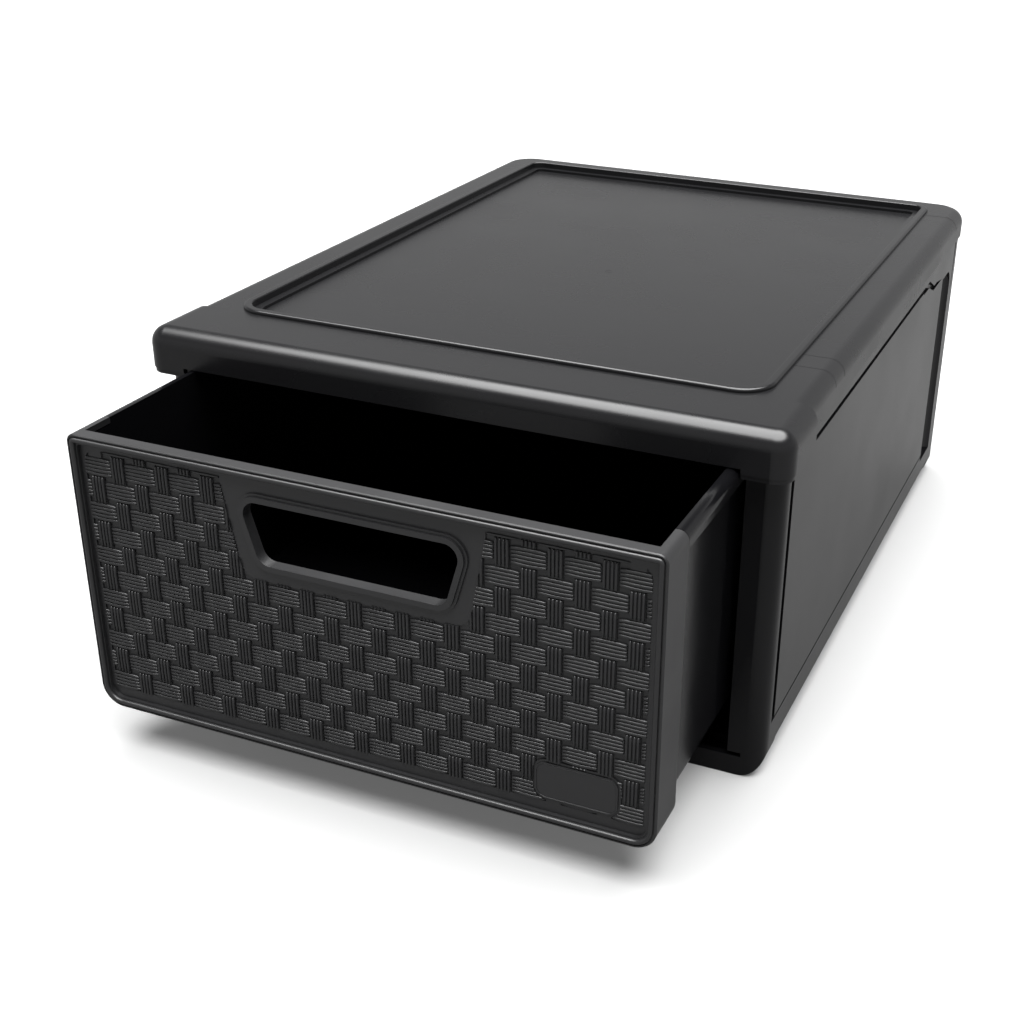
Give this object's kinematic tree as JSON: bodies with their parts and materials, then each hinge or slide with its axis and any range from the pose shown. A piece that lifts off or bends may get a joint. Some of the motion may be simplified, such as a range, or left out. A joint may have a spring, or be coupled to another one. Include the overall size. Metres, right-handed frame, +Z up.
{
  "type": "stackable drawer box",
  "caption": "Stackable black plastic storage box with a rounded rim, a raised stacking lip and a pull-out drawer whose basket-weave front has a cut-through hand hold.",
  "frame": {"origin": "middle of the footprint of the closed housing, on the floor (underside of the base)", "axes": "+X to the right seen from the front, +Y to the back, +Z up; the drawer pulls out along -Y"},
  "size_m": [0.3, 0.4682, 0.1668],
  "materials": {
    "cover_plastic": "satin black moulded polypropylene, fine grain",
    "body_plastic": "semi-gloss black moulded polypropylene",
    "drawer_plastic": "semi-gloss black moulded polypropylene",
    "front_plastic": "satin black moulded polypropylene"
  },
  "bodies": {
    "housing": {"top_cover": "cover_plastic", "left_side": "body_plastic", "right_side": "body_plastic", "back_panel": "body_plastic", "base": "body_plastic"},
    "drawer": {"drawer_tub": "drawer_plastic", "drawer_front": "front_plastic"}
  },
  "joints": [
    {"name": "drawer_slide", "type": "slide", "parent": "housing", "child": "drawer", "axis": [0, -1, 0], "range_m": [-0.0892, 0.2]}
  ]
}
